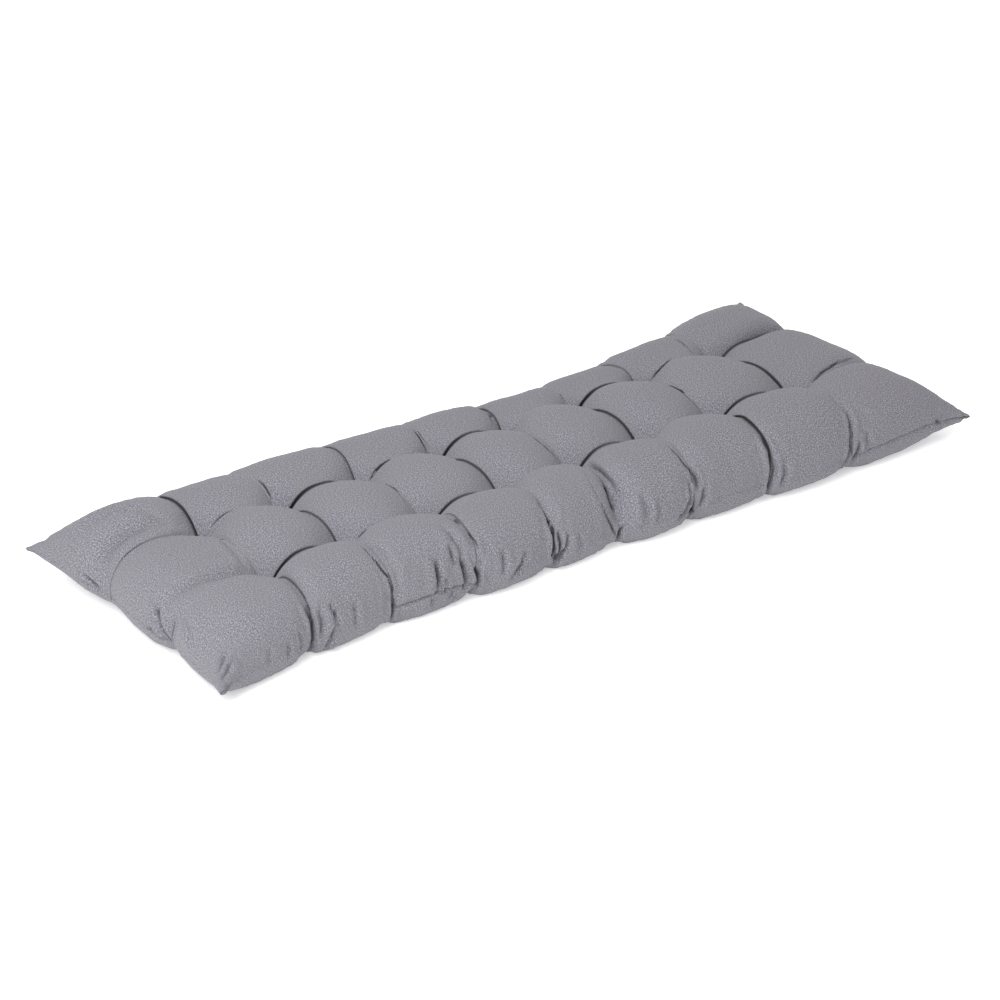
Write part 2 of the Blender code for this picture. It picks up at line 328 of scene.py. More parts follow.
class CoverSettings(bpy.types.PropertyGroup):
    """Sizes and colours of the cushion's cover."""

    swell_slack: FloatProperty(
        name="Slack", description="Extra cloth over each puff, which settles into folds",
        default=0.025, min=0.0, max=0.1, subtype="FACTOR")
    stuffing_pressure: FloatProperty(
        name="Stuffing", description="Pressure of the stuffing while the cover settles",
        default=3.0, min=0.0, max=20.0)
    settle_frames: IntProperty(
        name="Settling frames", description="Frames that the cloth gets to settle", default=16, min=2, max=60)
    fold_limit: FloatProperty(
        name="Fold limit", description="Furthest that settling moves the cloth",
        default=0.007, unit="LENGTH")
    thread_pitch: FloatProperty(
        name="Thread pitch", description="Distance between two neighbouring threads of the weave",
        default=0.0009, unit="LENGTH")
    cloth_colour: FloatVectorProperty(
        name="Cloth colour", description="Main colour of the woven cloth",
        default=(0.176, 0.173, 0.196), size=3, subtype="COLOR")
    # Also laid on sharp ridges as a painted highlight
    light_yarn: FloatVectorProperty(
        name="Light yarn", description="Colour of the pale fibres in the yarn",
        default=(0.34, 0.336, 0.368), size=3, subtype="COLOR")
    dark_yarn: FloatVectorProperty(
        name="Dark yarn", description="Colour of the dark fibres in the yarn",
        default=(0.08, 0.077, 0.092), size=3, subtype="COLOR")
    # Painted shade: the near-black colour laid into folds, creases, the seam groove and sharp valleys
    crease_shade_colour: FloatVectorProperty(
        name="Crease colour", description="Cloth at the bottom of creases and folds",
        default=(0.010, 0.010, 0.013), size=3, subtype="COLOR")


class StageSettings(bpy.types.PropertyGroup):
    """Light and floor of the stage."""

    floor_colour: FloatVectorProperty(
        name="Floor colour", description="Colour of the pale floor",
        default=(0.9, 0.9, 0.9), size=3, subtype="COLOR")
    key_power: FloatProperty(
        name="Key light", description="Power of the soft light at the front left",
        default=134.0, unit="POWER")
    fill_power: FloatProperty(
        name="Fill light", description="Power of the soft light overhead", default=18.0, unit="POWER")
    floor_glow: FloatProperty(
        name="Floor glow", description="Own light of the floor, which keeps it pale to its far end",
        default=0.45, min=0.0, max=1.0)
    room_light: FloatProperty(
        name="Room light", description="Strength of the even light of the room", default=0.52)


# Layout of the cover mesh

def round_profile(across, squareness=PUFF_SQUARENESS):
    """Height of a puff's round side, 1 in the puff's middle and 0 at the edge seam."""
    return np.sqrt(np.clip(1.0 - np.abs(across) ** squareness, 0.0, None))


def section_samples(count):
    """Places across a puff from -1 to 1, evenly spaced along its rounded section, but closer
    together beside the creases."""
    across = np.sin(np.linspace(-math.pi / 2, math.pi / 2, SECTION_POINTS))
    height = SECTION_RISE * round_profile(across)
    nearness = np.exp(-((1 - np.abs(across)) / BESIDE_CREASE) ** 2)
    density = 1 + CREASE_DENSITY * (nearness[1:] + nearness[:-1]) / 2
    steps = np.hypot(np.diff(across), np.diff(height)) * density
    run = np.concatenate(([0.0], np.cumsum(steps)))
    return np.interp(np.linspace(0.0, run[-1], count + 1), run, across)


def sample_lines(counts):
    """Puff number and place across it for every mesh line, the last of a puff being the first of the next."""
    puffs = np.repeat(np.arange(len(counts)), counts)
    places = np.concatenate([section_samples(count)[:-1] for count in counts])
    return np.append(puffs, len(counts) - 1), np.append(places, 1.0)


LINE_COUNTS = [LINES_PER_END_PUFF if c in (0, COLUMNS - 1) else LINES_PER_PUFF for c in range(COLUMNS)]
LINE_PUFF, LINE_PLACE = sample_lines(LINE_COUNTS)
ROW_BAND, ROW_PLACE = sample_lines(TOP_ROWS_PER_BAND)
LAST_LINE, LAST_ROW = len(LINE_PUFF) - 1, len(ROW_BAND) - 1


def under_rows():
    """Rows of the top panel that the bottom panel has too."""
    starts = np.cumsum((0,) + TOP_ROWS_PER_BAND)
    bands = [range(low, high, step) for low, high, step in zip(starts, starts[1:], UNDER_ROW_STEPS)]
    return np.array([row for band in bands for row in band] + [LAST_ROW])


TOP_ROWS = np.arange(LAST_ROW + 1)
UNDER_ROWS = under_rows()
LINE_CREASES = [line for line in range(1, LAST_LINE) if LINE_PLACE[line] <= -1]
ROW_CREASES = [row for row in range(1, LAST_ROW) if ROW_PLACE[row] <= -1]

Spot = namedtuple("Spot", "column a band b at_end at_side")


def spots(line, row):
    """The puff of each point by column and band, its place there from -1 to 1 along and across the
    cushion, and whether it lies beyond the outer tufts towards an end or a long side."""
    column, a, band, b = LINE_PUFF[line], LINE_PLACE[line], ROW_BAND[row], ROW_PLACE[row]
    at_end = (column == 0) & (a < 0) | (column == COLUMNS - 1) & (a > 0)
    at_side = (band == 0) & (b < 0) | (band == BANDS - 1) & (b > 0)
    return Spot(column, a, band, b, at_end, at_side)


def on_rim(line, row):
    """Whether points lie on the edge seam."""
    return (line == 0) | (line == LAST_LINE) | (row == 0) | (row == LAST_ROW)


# Form of the cover

def blend(first, second, share):
    return first * (1 - share) + second * share


def lattice():
    """Crossings of the crease lines, by column and row: plan position and seam height."""
    points = np.zeros((COLUMNS + 1, BANDS + 1, 3))
    points[0], points[COLUMNS] = LEFT_END, RIGHT_END
    seam_and_tufts = np.reshape(TUFT_COLUMNS, (-1, 4, 2))[:, (2, 0, 1, 3)]
    points[1:-1, :, :2] = seam_and_tufts
    points[1:-1, :, 2] = NOTCH_SEAM_HEIGHT
    return points


def seam_bulge(along, at_low_corner, at_high_corner, scallop, corner_scallop, rise):
    """How far a puff pushes the edge seam and the cloth over it out, squarer higher up the side.
    Beside a corner the seam draws in to a pointed ear."""
    from_corner = np.where(at_low_corner, (1 + along) / 2, (1 - along) / 2)
    out = CUBIC_PEAK * from_corner ** 2 * (1 - from_corner)
    drawn = CUBIC_PEAK * from_corner * (1 - from_corner) ** 2
    at_corner = corner_scallop * out - EAR_DRAW * drawn
    squareness = SEAM_SQUARENESS + (SIDE_CREASE_SQUARENESS - SEAM_SQUARENESS) * np.clip(2 * rise, 0.0, 1.0)
    scallop = scallop * (1 - SCALLOP_LEAN * along) * (1 - np.abs(along) ** squareness)
    return np.where(at_low_corner | at_high_corner, at_corner, scallop)


def wall_share(rise):
    """1 on the upper part of the cushion's side, and 0 at the seam and on top."""
    return CUBIC_PEAK * rise ** 2 * (1 - rise)


def side_belly(column, a, band):
    """How far the side stands out over the seam: each puff's middle, and each crease by its own amount."""
    crossing = column + (a > 0)
    at_line = np.where(band == 0, np.pad(FRONT_OUTS, 1, mode="edge")[crossing], BACK_CREASE_BELLY)
    at_corner = (crossing == 0) | (crossing == COLUMNS)
    return SIDE_BELLY * (1 - a ** 4) + np.where(at_corner, 0.0, at_line) * a ** 4


def plan_points(spot, under):
    """Where points of the puffs lie in plan, with the seam's own height there."""
    column, a, band, b = spot[:4]
    crossing = lattice()
    s, t = (a + 1) / 2, (b + 1) / 2
    near = blend(crossing[column, band], crossing[column + 1, band], s[:, None])
    far = blend(crossing[column, band + 1], crossing[column + 1, band + 1], s[:, None])
    point = blend(near, far, t[:, None])
    left, right = column == 0, column == COLUMNS - 1
    front, back = band == 0, band == BANDS - 1
    side_rise, end_rise = round_profile(b) * ~under, round_profile(a) * ~under
    side_scallop = np.where(front, np.array(FRONT_SCALLOPS)[column], BACK_SCALLOP)
    side_bulge = seam_bulge(a, left, right, side_scallop, SIDE_CORNER_SCALLOP, side_rise)
    end_bulge = seam_bulge(b, front, back, END_SCALLOP, END_CORNER_SCALLOP, end_rise)
    outward = t * back - (1 - t) * front
    point[:, 1] += side_bulge * outward
    point[:, 1] += side_belly(column, a, band) * wall_share(side_rise) * outward
    point[:, 0] += end_bulge * (s * right - (1 - s) * left)
    out = (SIDE_BELLY * (1 - b ** 4) + END_CREASE_BELLY * b ** 4) * wall_share(end_rise)
    point[:, 0] += out * (s * right * (a > 0) - (1 - s) * left * (a < 0))
    bow_a, bow_b = 1 - a * a, 1 - b * b
    swing = np.where((column + band) % 2, CREASE_WANDER, -CREASE_WANDER)
    point[:, 0] += swing * bow_b * (1 - bow_a)
    point[:, 1] -= swing * bow_a * (1 - bow_b)
    return point


def across_outer_puff(column, a, band, b):
    """How far points lie across an outer puff, from 0 at the tufts' side of it to 1 at the seam: towards
    a long side, and towards an end."""
    to_side = np.select([band == 0, band == BANDS - 1], [(1 - b) / 2, (1 + b) / 2], 0.0)
    to_end = np.select([column == 0, column == COLUMNS - 1], [(1 - a) / 2, (1 + a) / 2], 0.0)
    return to_side, to_end


def towards_seam(*place):
    """The same, but 1 from the middle of the outer puff on."""
    to_side, to_end = across_outer_puff(*place)
    return np.minimum(1.0, 2 * to_side), np.minimum(1.0, 2 * to_end)


def crease_profile(across, on_side, eased):
    """Height of a puff towards its creases, 1 in its middle and 0 at the crease. Puffs are flatter
    where they are on the cushion's side, from 0 to 1, and creases are softer where eased."""
    squareness = blend(CREASE_SQUARENESS, SIDE_CREASE_SQUARENESS, on_side) * (1 - 0.5 * eased)
    steepness = blend(CREASE_STEEPNESS, SIDE_CREASE_STEEPNESS, on_side) + eased
    return np.clip(1.0 - np.abs(across) ** squareness, 0.0, None) ** steepness


def panel_height(spot, crest, crease, tuft, seam, squareness, pinched):
    """Height of a panel: puffs rise from the tufts over the creases, and run down to the edge seam."""
    column, a, band, b = spot[:4]
    eased = LEFT_CREASE_EASE * np.where(column == 0, np.clip(0.5 - a, 0.0, 1.0), 0.0)
    to_side, to_end = towards_seam(column, a, band, b)
    over_line = np.where(spot.at_end, 1.0, crease_profile(a, to_side, 0.0))
    over_row = np.where(spot.at_side, 1.0, crease_profile(b, to_end * (1 - eased), eased))
    either = over_line + over_row - over_line * over_row
    height = tuft + (crease - tuft) * either + (crest - crease) * over_line * over_row
    to_seam = np.where(spot.at_end, round_profile(a, squareness), 1.0)
    to_seam *= np.where(spot.at_side, round_profile(b, squareness), 1.0)
    return seam + (height - seam) * to_seam * (1 - pinched)


def top_crease_height(column, a, band, b):
    """Creases of the top panel: deep between two tufts, and shallower on their way to the seam."""
    line_low = np.pad(np.minimum(CRESTS[:, 1:], CRESTS[:, :-1]), ((0, 0), (1, 1)), mode="edge")
    row_low = np.pad(np.minimum(CRESTS[1:], CRESTS[:-1]), ((1, 1), (0, 0)), mode="edge")
    line_low[0] -= np.pad(FRONT_DEPTHS, 1, mode="edge")
    line_low[BANDS - 1] -= BACK_CREASE_DEPTH
    side = blend(line_low[band, column], line_low[band, column + 1], (a + 1) / 2)
    end = blend(row_low[band, column], row_low[band + 1, column], (b + 1) / 2)
    end = end - np.where(column == 0, LEFT_CREASE_DEPTH, RIGHT_CREASE_DEPTH)
    to_side, to_end = towards_seam(column, a, band, b)
    beside_seam = (to_side * side + to_end * end) / np.maximum(to_side + to_end, 1e-6)
    return blend(CREASE_HEIGHT, beside_seam, np.maximum(to_side, to_end))


def under_crease_height(column, a, band, b):
    to_side, to_end = towards_seam(column, a, band, b)
    return blend(UNDER_CREASE_HEIGHT, UNDER_SIDE_CREASE_HEIGHT, np.maximum(to_side, to_end))


def cover_points(line, row, under):
    """Positions of cover points from their line and row numbers and whether they are on the underside."""
    spot = spots(line, row)
    column, a, band, b = spot[:4]
    point = plan_points(spot, under)
    seam = point[:, 2] + (SEAM_HEIGHT - NOTCH_SEAM_HEIGHT) * np.maximum(1 - a * a, 1 - b * b)
    to_side, to_end = across_outer_puff(column, a, band, b)
    ear = to_side * to_end
    top = panel_height(
        spot, CRESTS[band, column], top_crease_height(column, a, band, b), TUFT_HEIGHT, seam,
        PUFF_SQUARENESS, EAR_PINCH * ear ** 2)
    low = panel_height(
        spot, UNDER_SWELL, under_crease_height(column, a, band, b), UNDER_TUFT_HEIGHT, seam,
        UNDER_SQUARENESS, np.where(band == 0, FRONT_UNDER_EAR_PINCH, BACK_UNDER_EAR_PINCH) * ear)
    point[:, 2] = np.where(under, np.maximum(0.0, low), top)
    return point


def centring():
    """The move that puts the cover where its solid is."""
    line, row = np.meshgrid(np.arange(LAST_LINE + 1), TOP_ROWS, indexing="ij")
    point = cover_points(line.ravel(), row.ravel(), np.zeros(line.size, bool))
    middle = (point.min(axis=0) + point.max(axis=0)) / 2
    wanted = (CAD_LOW + CAD_HIGH) / 2
    return np.array((wanted.x - middle[0], wanted.y - middle[1], 0.0))


# The cover as a mesh

def read_values(items, name, width=1, kind=float):
    """A property of each item, as a row of an array."""
    flat = np.empty(len(items) * width, dtype=kind)
    items.foreach_get(name, flat)
    return flat.reshape(-1, width) if width > 1 else flat


def coordinates(data):
    return read_values(data.vertices, "co", 3)


def set_coordinates(data, points):
    data.vertices.foreach_set("co", np.ascontiguousarray(points, dtype=float).ravel())
    data.update()


def normals(data):
    data.update()
    return read_values(data.vertex_normals, "vector", 3)


def mesh_data(name, mesh):
    data = bpy.data.meshes.new(name)
    mesh.to_mesh(data)
    mesh.free()
    return data


def add_object(name, data):
    made = bpy.data.objects.new(name, data)
    bpy.context.scene.collection.objects.link(made)
    return made


def flat_panel(mesh, lines, rows, level):
    """One panel of cloth laid out flat, with a vertex at each line and row number."""
    made = bmesh.ops.create_grid(mesh, x_segments=len(lines) - 1, y_segments=len(rows) - 1, size=1.0)
    for vertex in made["verts"]:
        i = round((vertex.co.x + 1) / 2 * (len(lines) - 1))
        j = round((vertex.co.y + 1) / 2 * (len(rows) - 1))
        at_rim = i in (0, len(lines) - 1) or j in (0, len(rows) - 1)
        vertex.co = (lines[i], rows[j], 0 if at_rim else level)
    return made["verts"]


def sewn_panels(lines, top_rows, low_rows):
    """Top and bottom panel laid out flat and sewn along their rims, in line and row numbers. At the
    ends the bottom panel has fewer rows, so its rim gets the missing ones before it is sewn."""
    mesh = bmesh.new()
    flat_panel(mesh, lines, top_rows, 1)
    low = flat_panel(mesh, lines, low_rows, -1)
    faces = list({face for vertex in low for face in vertex.link_faces})
    bmesh.ops.reverse_faces(mesh, faces=faces)
    top_step = top_rows[1] - top_rows[0]
    at_ends = [edge for edge in mesh.edges if edge.is_boundary and edge.verts[0].co.x == edge.verts[1].co.x]
    longer = {}
    for edge in at_ends:
        cuts = round(abs(edge.verts[0].co.y - edge.verts[1].co.y)) // top_step - 1
        if cuts:
            longer.setdefault(cuts, []).append(edge)
    for cuts, edges in longer.items():
        bmesh.ops.subdivide_edges(mesh, edges=edges, cuts=int(cuts))
    bmesh.ops.remove_doubles(mesh, verts=mesh.verts, dist=0.1)
    wide = [face for face in mesh.faces if len(face.verts) > 4]
    bmesh.ops.triangulate(mesh, faces=wide)
    return mesh


def new_cover(name, step):
    """The cover as an object, with every line and row at step 1 and every second one at step 2.
    Also returns the line and row number of each vertex and whether it is on the underside."""
    lines = np.arange(0, LAST_LINE + 1, step)
    data = mesh_data(name, sewn_panels(lines, TOP_ROWS[::step], UNDER_ROWS[::step]))
    layout = coordinates(data)
    line, row = layout[:, 0].round().astype(int), layout[:, 1].round().astype(int)
    under = layout[:, 2] < -0.5
    set_coordinates(data, cover_points(line, row, under) + centring())
    return add_object(name, data), line, row, under


# Settling of the cloth

def weight_group(cover, name, weights):
    group = cover.vertex_groups.new(name=name)
    for index in np.nonzero(weights > 0)[0]:
        group.add([int(index)], float(weights[index]), "REPLACE")


def settled_shift(settings):
    """How far each vertex of a coarse cover moves when it is stuffed and its cloth settles. The
    creases and the seam are held."""
    cover, line, row, under = new_cover("settling_cover", 2)
    held = np.isin(line, LINE_CREASES) | np.isin(row, ROW_CREASES) | on_rim(line, row)
    weight_group(cover, "held", held.astype(float))
    weight_group(cover, "slack", np.where(spots(line, row).at_side, 1.0, TOP_SLACK))
    before = coordinates(cover.data)
    modifier = cover.modifiers.new("stuffing", "CLOTH")
    modifier.collision_settings.use_collision = False
    cloth = modifier.settings
    cloth.quality = 5
    cloth.mass = 0.2
    cloth.tension_stiffness = 15.0
    cloth.compression_stiffness = 15.0
    cloth.shear_stiffness = 5.0
    cloth.bending_stiffness = 0.2
    cloth.use_pressure = True
    cloth.uniform_pressure_force = settings.stuffing_pressure
    cloth.vertex_group_mass = "held"
    cloth.vertex_group_shrink = "slack"
    cloth.shrink_min = 0.0
    cloth.shrink_max = -settings.swell_slack * SLACK_STRETCH
    cloth.effector_weights.gravity = 0.0
    for number in range(1, settings.settle_frames + 1):
        bpy.context.scene.frame_set(number)
    shape = cover.evaluated_get(bpy.context.evaluated_depsgraph_get()).to_mesh()
    after = coordinates(shape)
    bpy.data.objects.remove(cover)
    bpy.context.scene.frame_set(1)
    return line, row, under, after - before


def doubled(values, axis):
    """Values with one more between each two along an axis, on a smooth curve through its neighbours."""
    values = np.moveaxis(values, axis, 0)
    padded = np.concatenate((values[:1], values, values[-1:]))
    between = (9 * (padded[1:-2] + padded[2:-1]) - padded[:-3] - padded[3:]) / 16
    full = np.empty((2 * len(values) - 1,) + values.shape[1:])
    full[0::2], full[1::2] = values, between
    return np.moveaxis(full, 0, axis)


def blurred(values, reach):
    """Values averaged over `reach` steps each way along both axes."""
    width = 2 * reach + 1
    for axis in (0, 1):
        moved = np.moveaxis(values, axis, 0)
        edge = [(reach, reach)] + [(0, 0)] * (moved.ndim - 1)
        total = np.cumsum(np.pad(moved, edge, mode="edge"), axis=0)
        total = np.concatenate((np.zeros_like(total[:1]), total))
        values = np.moveaxis((total[width:] - total[:-width]) / width, 0, axis)
    return values


def settle(settings, line, row, under):
    """Moves from the settled coarse cover, for each vertex of the full one."""
    coarse_line, coarse_row, coarse_under, shift = settled_shift(settings)
    moved = np.zeros((len(line), 3))
    top = (TOP_ROWS, ~coarse_under, ~under, TOP_BLUR)
    bottom = (UNDER_ROWS, coarse_under, under, UNDER_BLUR)
    for rows, coarse, full, reach in (top, bottom):
        kept_rows = rows[::2]
        grid = np.zeros((LAST_LINE // 2 + 1, len(kept_rows), 3))
        grid[coarse_line[coarse] // 2, np.searchsorted(kept_rows, coarse_row[coarse])] = shift[coarse]
        grid -= blurred(grid, reach) * SWELL_REMOVED
        grid = doubled(doubled(grid, 0), 1)
        moved[full] = grid[line[full], np.searchsorted(rows, row[full])]
    size = np.linalg.norm(moved, axis=1, keepdims=True) + 1e-9
    limit = settings.fold_limit
    return moved / size * limit * np.tanh(size / limit)


# Lengths of cloth

def panel_grids(points, line, row, under):
    """For the top and the bottom panel: which vertices are its own, its rows, and its points by line
    and row, with those on the seam."""
    for own, rows in ((~under, TOP_ROWS), (under, UNDER_ROWS)):
        kept = (own | on_rim(line, row)) & np.isin(row, rows)
        grid = np.zeros((LAST_LINE + 1, len(rows), 3))
        grid[line[kept], np.searchsorted(rows, row[kept])] = points[kept]
        yield own, rows, grid


def panel_lengths(rows, grid):
    """Average cloth length in metres from the left end to each line, and from the front seam to each row."""
    along, across = (
        np.linalg.norm(np.diff(grid, axis=axis), axis=2).mean(axis=1 - axis).cumsum() for axis in (0, 1))
    return np.insert(along, 0, 0.0), np.interp(TOP_ROWS, rows, np.insert(across, 0, 0.0))


def seam_distance(points, line, row, under):
    """Rough length of cloth from each vertex to the edge seam."""
    distance = np.zeros(len(points))
    for own, rows, grid in panel_grids(points, line, row, under):
        u, v = panel_lengths(rows, grid)
        nearest = np.minimum(np.minimum(u, u[-1] - u)[line], np.minimum(v, v[-1] - v)[row])
        distance[own] = nearest[own]
    return distance


def crease_distances(points, line, row, under):
    """Length of cloth from each vertex to the nearest crease across the cushion, and along it."""
    away = np.ones((2, len(points)))
    for own, rows, grid in panel_grids(points, line, row, under):
        place = np.searchsorted(rows, row[own])
        for axis, creases in ((0, LINE_CREASES), (1, np.searchsorted(rows, ROW_CREASES))):
            steps = np.linalg.norm(np.diff(grid, axis=axis), axis=2)
            run = np.insert(np.cumsum(steps, axis=axis), 0, 0.0, axis=axis)
            nearest = np.min([np.abs(run - np.take(run, [k], axis=axis)) for k in creases], axis=0)
            away[axis, own] = nearest[line[own], place]
    return away


# Folds

def photo_ray(pixel):
    """Where the camera stands and the direction in which it sees a pixel of the photograph."""
    a, e = CAMERA_AZIMUTH, CAMERA_ELEVATION
    back = Vector((math.sin(a) * math.cos(e), -math.cos(a) * math.cos(e), math.sin(e)))
    right = Vector((math.cos(a), math.sin(a), 0.0))
    up = back.cross(right)
    x, y = pixel[0] - PHOTO_PIXELS / 2, PHOTO_PIXELS / 2 - pixel[1]
    towards = -back * FOCAL_PIXELS + right * x + up * y
    return CAMERA_TARGET + back * CAMERA_DISTANCE, towards.normalized()


def fold_path(surface, pixels):
    """Points along a fold on the surface that the camera sees, as far as it runs on without a jump."""
    runs = [[]]
    for start, end in zip(pixels, pixels[1:]):
        for k in range(FOLD_STEPS):
            share = k / (FOLD_STEPS - 1)
            pixel = [start[axis] + (end[axis] - start[axis]) * share for axis in (0, 1)]
            origin, towards = photo_ray(pixel)
            hit = surface.ray_cast(origin, towards)[0]
            if hit is None:
                continue
            if runs[-1] and (hit - runs[-1][-1]).length > FOLD_JUMP:
                runs.append([])
            runs[-1].append(hit)
    return np.array([tuple(hit) for hit in max(runs, key=len)])


def fold_depths(points, path, width):
    """How deep a fold is at each point, from 0 to 1, with a raised lip on both sides as less than 0."""
    depth = np.zeros(len(points))
    if len(path) < 2:
        return depth
    reach = 3 * width
    low, high = path.min(axis=0) - reach, path.max(axis=0) + reach
    near = np.nonzero(((points > low) & (points < high)).all(axis=1))[0]
    steps = np.linalg.norm(np.diff(path, axis=0), axis=1)
    run = np.concatenate(([0.0], np.cumsum(steps)))
    away = np.linalg.norm(points[near, None, :] - path[None, :, :], axis=2)
    closest = away.argmin(axis=1)
    along = run[closest] / max(run[-1], 1e-6)
    tapered = np.clip(np.sin(math.pi * along), 0.0, 1.0) ** 0.5
    across = away[np.arange(len(near)), closest] / width
    valley = np.exp(-(across / FOLD_VALLEY) ** 2)
    lip = FOLD_LIP * np.exp(-((across - FOLD_LIP_PLACE) / FOLD_LIP_WIDTH) ** 2)
    depth[near] = (valley - lip) * tapered
    return depth


def smooth_noise(points, size, seed):
    """Smooth unevenness from -1 to 1 whose bumps are about `size` metres long."""
    offset = Vector((seed * 3.7, seed * 1.9, seed * 5.3))
    return np.array([noise.noise(Vector(point) / size + offset) for point in points])


def gathers(points, line, row):
    """Upright gathers that run from the edge seam over the sides, as heights along the normal."""
    spot = spots(line, row)
    from_seam = np.where(spot.at_side, 1 - np.abs(spot.b), UNSEAMED)
    from_end = np.where(spot.at_end, 1 - np.abs(spot.a), UNSEAMED)
    closest = np.minimum(from_seam, from_end)
    reach = np.exp(-(closest / GATHER_REACH) ** 2)
    plan = points * (1, 1, 0)
    wave = sum(share * smooth_noise(plan, size, seed) for share, size, seed in GATHER_WAVES)
    beside_side = from_seam < from_end
    place = np.where(beside_side, spot.a, spot.b)
    beside_notch = np.where(closest < UNSEAMED, blend(GATHER_MIDDLE, 1.0, place ** 2), 0.0)
    return np.where(beside_side, GATHER_DEPTH, END_GATHER_DEPTH) * wave * reach * beside_notch


def pinch(line, row, to_line, to_row):
    """How tightly the nearest crease is pinched at each point, from 0 to 1, and how much the point
    is beside a tuft, from its lengths of cloth to the nearest crease of each kind."""
    column, a, band, b, at_end, at_side = spots(line, row)
    off_line = np.where(at_end, 1.0, 1 - np.abs(a)) * HALF_PUFF
    off_row = np.where(at_side, 1.0, 1 - np.abs(b)) * HALF_BAND
    lines = np.array((FRONT_PINCHED, MIDDLE_PINCHED, BACK_PINCHED))
    rows = np.array((FRONT_ROW_PINCHED, BACK_ROW_PINCHED))
    at_line = lines[band, np.clip(column - (a < 0), 0, COLUMNS - 2)]
    fading = np.where(column < COLUMNS - 1, ROW_FADING * np.clip(a + 0.5, 0.0, 1.0), 0.0)
    at_row = rows[np.clip(band - (b < 0), 0, 1), column] * (1 - fading)
    beside_tuft = np.exp(-(np.maximum(off_line, off_row) / TUFT_PINCH_REACH) ** 2)
    pinched = np.where(to_line < to_row, at_line, at_row)
    return np.maximum(pinched, TUFT_PINCHED * beside_tuft), beside_tuft


def relief(data):
    """Curvature of the cloth, from -1 on sharp ridges to 1 in sharp valleys."""
    points, outward = coordinates(data), normals(data)
    ends = read_values(data.edges, "vertices", 2, np.int32)
    step = points[ends[:, 1]] - points[ends[:, 0]]
    square = (step ** 2).sum(axis=1) + RELIEF_REACH ** 2
    bend = np.zeros(len(points))
    count = np.zeros(len(points))
    for start, sign in ((0, 1.0), (1, -1.0)):
        rise = sign * (step * outward[ends[:, start]]).sum(axis=1) / square
        np.add.at(bend, ends[:, start], rise)
        np.add.at(count, ends[:, start], 1.0)
    return np.tanh(bend / np.maximum(count, 1.0) / RELIEF_BEND)


def shape_cover(cover, line, row, under, settings):
    """Moves the full cover's vertices into place and stores painted shade for its folds and creases."""
    data = cover.data
    points = coordinates(data)
    surface = BVHTree.FromPolygons(
        [tuple(p) for p in points], [tuple(polygon.vertices) for polygon in data.polygons])
    paths = [(fold, fold_path(surface, fold[2:])) for fold in FRONT_FOLDS + TOUCHING_PUFFS + END_FOLDS]
    points = points + settle(settings, line, row, under)
    set_coordinates(data, points)
    outward = normals(data)

    from_seam = seam_distance(points, line, row, under)
    front_shows = np.array(FRONT_SEAM_SHOWS)[LINE_PUFF[line]]
    seam_shows = np.where(row < LAST_ROW // 2, front_shows, OTHER_SEAM_SHOWS)
    groove = np.exp(-(from_seam / SEAM_GROOVE_WIDTH) ** 2) * seam_shows
    pucker = smooth_noise(points, PUCKER_SIZE, 6) * np.exp(-(from_seam / PUCKER_REACH) ** 2)
    height = gathers(points, line, row) + SEAM_PUCKER * pucker - SEAM_GROOVE_DEPTH * groove
    for bump, size, seed in UNEVENNESS:
        height += bump * smooth_noise(points, size, seed)

    to_line, to_row = crease_distances(points, line, row, under)
    away = np.minimum(to_line, to_row)
    # Painted shade of folds, creases and the seam groove, kept in the fold_shade attribute
    painted_shade = np.zeros(len(points))
    for fold, path in paths:
        width, deepest = fold[0] * MILLIMETRE, fold[1] * MILLIMETRE
        depth = fold_depths(points, path, FOLD_BREADTH * width) * deepest
        strength, shade = FOLD_STRENGTH, FOLD_SHADE
        if fold in TOUCHING_PUFFS:
            depth = np.maximum(depth, 0.0) * np.exp(-(away / TOUCHING_REACH) ** 2)
            strength, shade = TOUCHING_STRENGTH, TOUCHING_SHADE
        height -= strength * depth
        # painted shade along the bottom of each fold
        painted_shade = np.maximum(painted_shade, shade * min(1.0, SHARP_FOLD / width) * depth)

    pinched, beside_tuft = pinch(line, row, to_line, to_row)
    height -= pinched * blend(PINCH_DEPTH, TUFT_PINCH_DEPTH, beside_tuft) * np.exp(-(away / PINCH_WIDTH) ** 2)
    # Painted shade along the bottom of each crease, darker and wider where it is pinched
    shade_width = PINCH_SHADE_WIDTH * blend(0.5, 1.0, pinched)
    painted_shade = np.maximum(painted_shade, np.exp(-(away / shade_width) ** 2) * blend(PINCH_SHADE, 1.0, pinched))
    # Painted shade in the seam groove
    painted_shade = np.maximum(painted_shade, SEAM_SHADE * groove)
    points = points + outward * height[:, None]
    points[:, 2] = np.maximum(points[:, 2], CAD_LOW.z)
    set_coordinates(data, points)
    for name, values in (("fold_shade", painted_shade), ("relief", relief(data))):
        attribute = data.attributes.new(name, "FLOAT", "POINT")
        attribute.data.foreach_set("value", values.astype(np.float32))


def lay_out_weave(cover, line, row, under):
    """UV map in metres of cloth, so that the weave follows the panels."""
    data = cover.data
    corners = read_values(data.loops, "vertex_index", kind=np.int32)
    counts = read_values(data.polygons, "loop_total", kind=np.int32)
    starts = np.concatenate(([0], np.cumsum(counts)[:-1]))
    low_face = np.repeat(np.logical_or.reduceat(under[corners], starts), counts)
    (u, v), (low_u, low_v) = (
        panel_lengths(rows, grid) for own, rows, grid in panel_grids(coordinates(data), line, row, under))
    at_line, at_row = line[corners], row[corners]
    places = np.stack((
        np.where(low_face, low_u[at_line], u[at_line]),
        np.where(low_face, -PANEL_GAP - low_v[at_row], v[at_row])), axis=1)
    weave = data.uv_layers.new(name="weave")
    weave.uv.foreach_set("vector", places.astype(np.float32).ravel())


# Cloth finish

